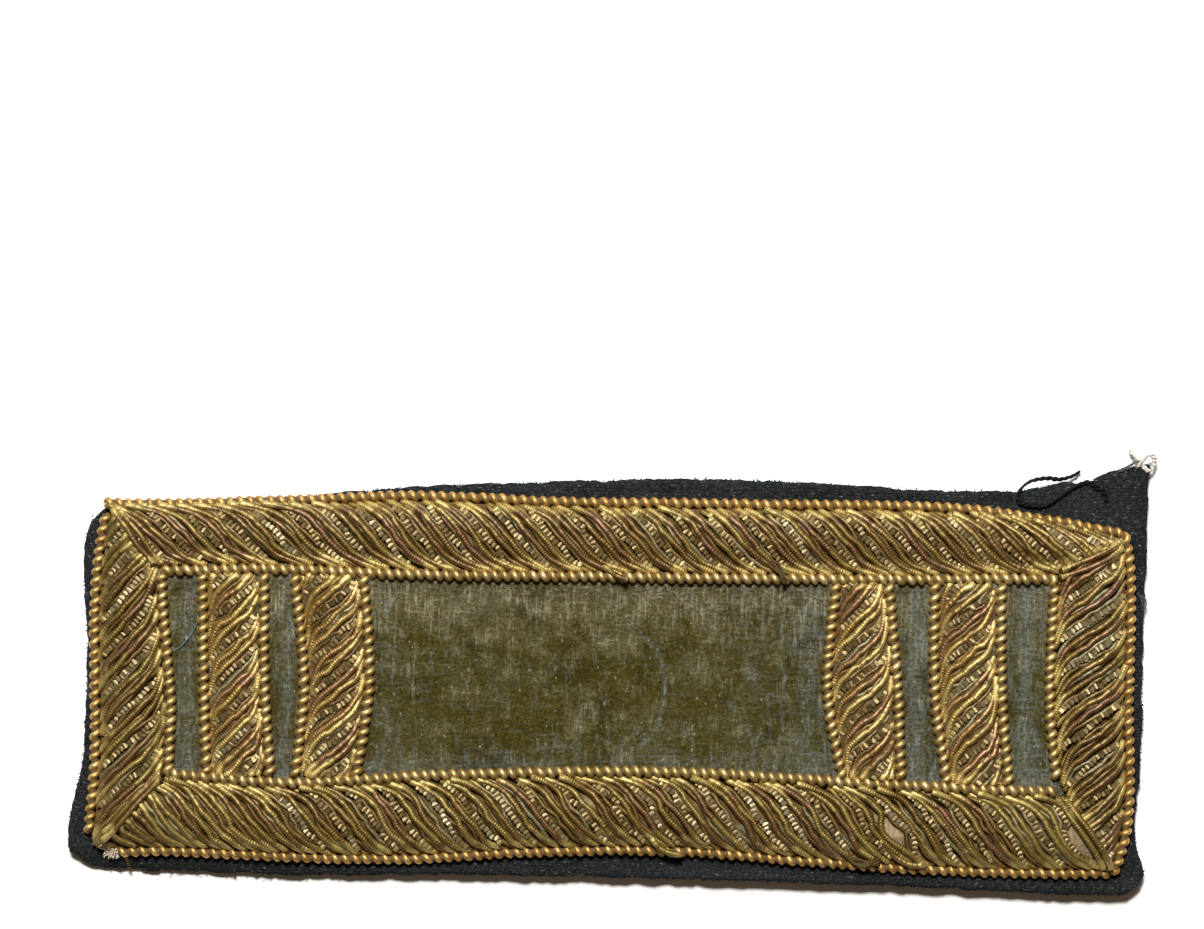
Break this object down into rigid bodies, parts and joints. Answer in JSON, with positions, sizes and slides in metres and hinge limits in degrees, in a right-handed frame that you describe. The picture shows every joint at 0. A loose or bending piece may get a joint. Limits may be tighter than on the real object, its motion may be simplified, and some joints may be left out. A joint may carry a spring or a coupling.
{
  "type": "shoulder strap",
  "caption": "Embroidered shoulder strap: a wool backing with a velvet field inside a padded, mitred border of gold bullion, with bullion bars and edging coils of gold wire.",
  "frame": {"origin": "middle of the border on the flat back face of the wool backing", "axes": "+X along the strap, towards its end with the loose corner flap; +Y across it; +Z out of its face, away from the garment"},
  "size_m": [0.1053, 0.0421, 0.0041],
  "materials": {
    "wool": "dark navy wool cloth, fulled, with a little light lint",
    "velvet": "olive green velvet, crushed and worn pale in places",
    "padding": "cream felt, aged",
    "bullion": "aged gilt purl, partly tarnished brown",
    "coil": "gilt wire, bright on top and dark between the turns"
  },
  "bodies": {
    "root": {"wool_backing": "wool", "velvet_field": "velvet", "border_padding_top": "padding", "border_padding_bottom": "padding", "border_padding_left": "padding", "border_padding_right": "padding", "border_bullion_top": "bullion", "border_bullion_bottom": "bullion", "border_bullion_left": "bullion", "border_bullion_right": "bullion", "outer_coil_top": "coil", "outer_coil_bottom": "coil", "outer_coil_left": "coil", "outer_coil_right": "coil", "inner_coil_top": "coil", "inner_coil_bottom": "coil", "inner_coil_left": "coil", "inner_coil_right": "coil", "bar_bullion_1": "bullion", "bar_bullion_2": "bullion", "bar_bullion_3": "bullion", "bar_bullion_4": "bullion", "bar_coil_1_left": "coil", "bar_coil_1_right": "coil", "bar_coil_2_left": "coil", "bar_coil_2_right": "coil", "bar_coil_3_left": "coil", "bar_coil_3_right": "coil", "bar_coil_4_left": "coil", "bar_coil_4_right": "coil"}
  },
  "joints": []
}
